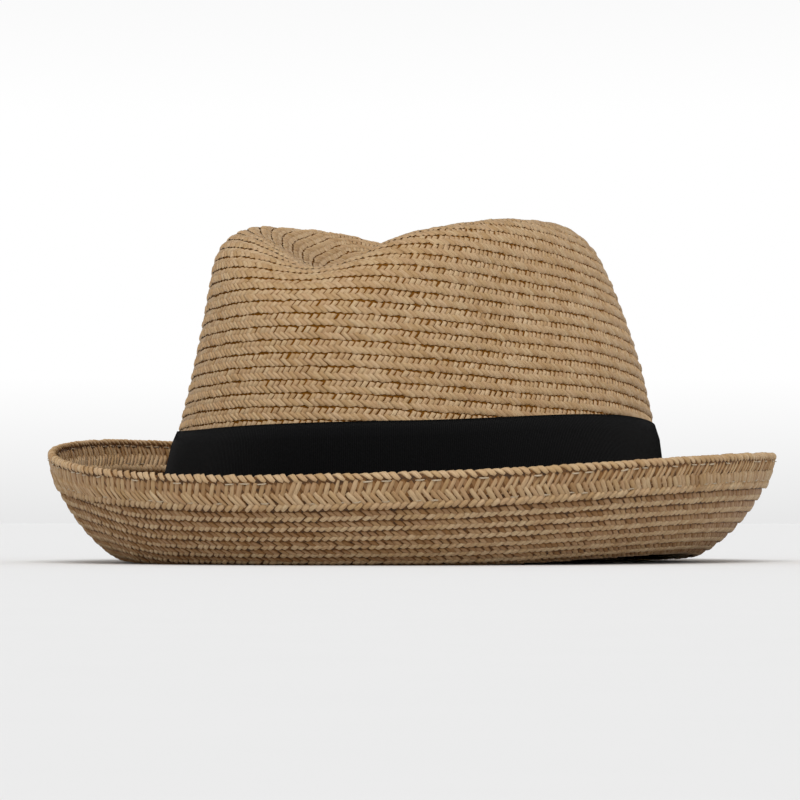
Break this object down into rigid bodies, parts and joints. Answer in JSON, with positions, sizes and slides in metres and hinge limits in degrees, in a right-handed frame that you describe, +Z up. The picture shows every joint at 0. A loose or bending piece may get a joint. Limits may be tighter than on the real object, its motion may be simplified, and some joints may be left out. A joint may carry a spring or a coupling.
{
  "type": "straw hat",
  "caption": "Short-brim hat of sewn straw braid with a creased oval crown, a rolled-up brim, a black ribbon band and a black inner band.",
  "frame": {"origin": "middle of the hat's outline seen from above, on the surface that its brim rests on", "axes": "+Z up, the hat's front towards -Y, the wearer's left side towards +X"},
  "size_m": [0.2452, 0.277, 0.1175],
  "materials": {
    "straw": "plaited natural paper straw, satin",
    "straw_edge": "wide plaited straw braid folded over the edge, satin",
    "black_ribbon": "black grosgrain ribbon, fine ribs",
    "black_lining": "black woven cotton, matt"
  },
  "bodies": {
    "root": {"crown": "straw", "brim": "straw", "edge_braid": "straw_edge", "ribbon_band": "black_ribbon", "sweatband": "black_lining"}
  },
  "joints": []
}
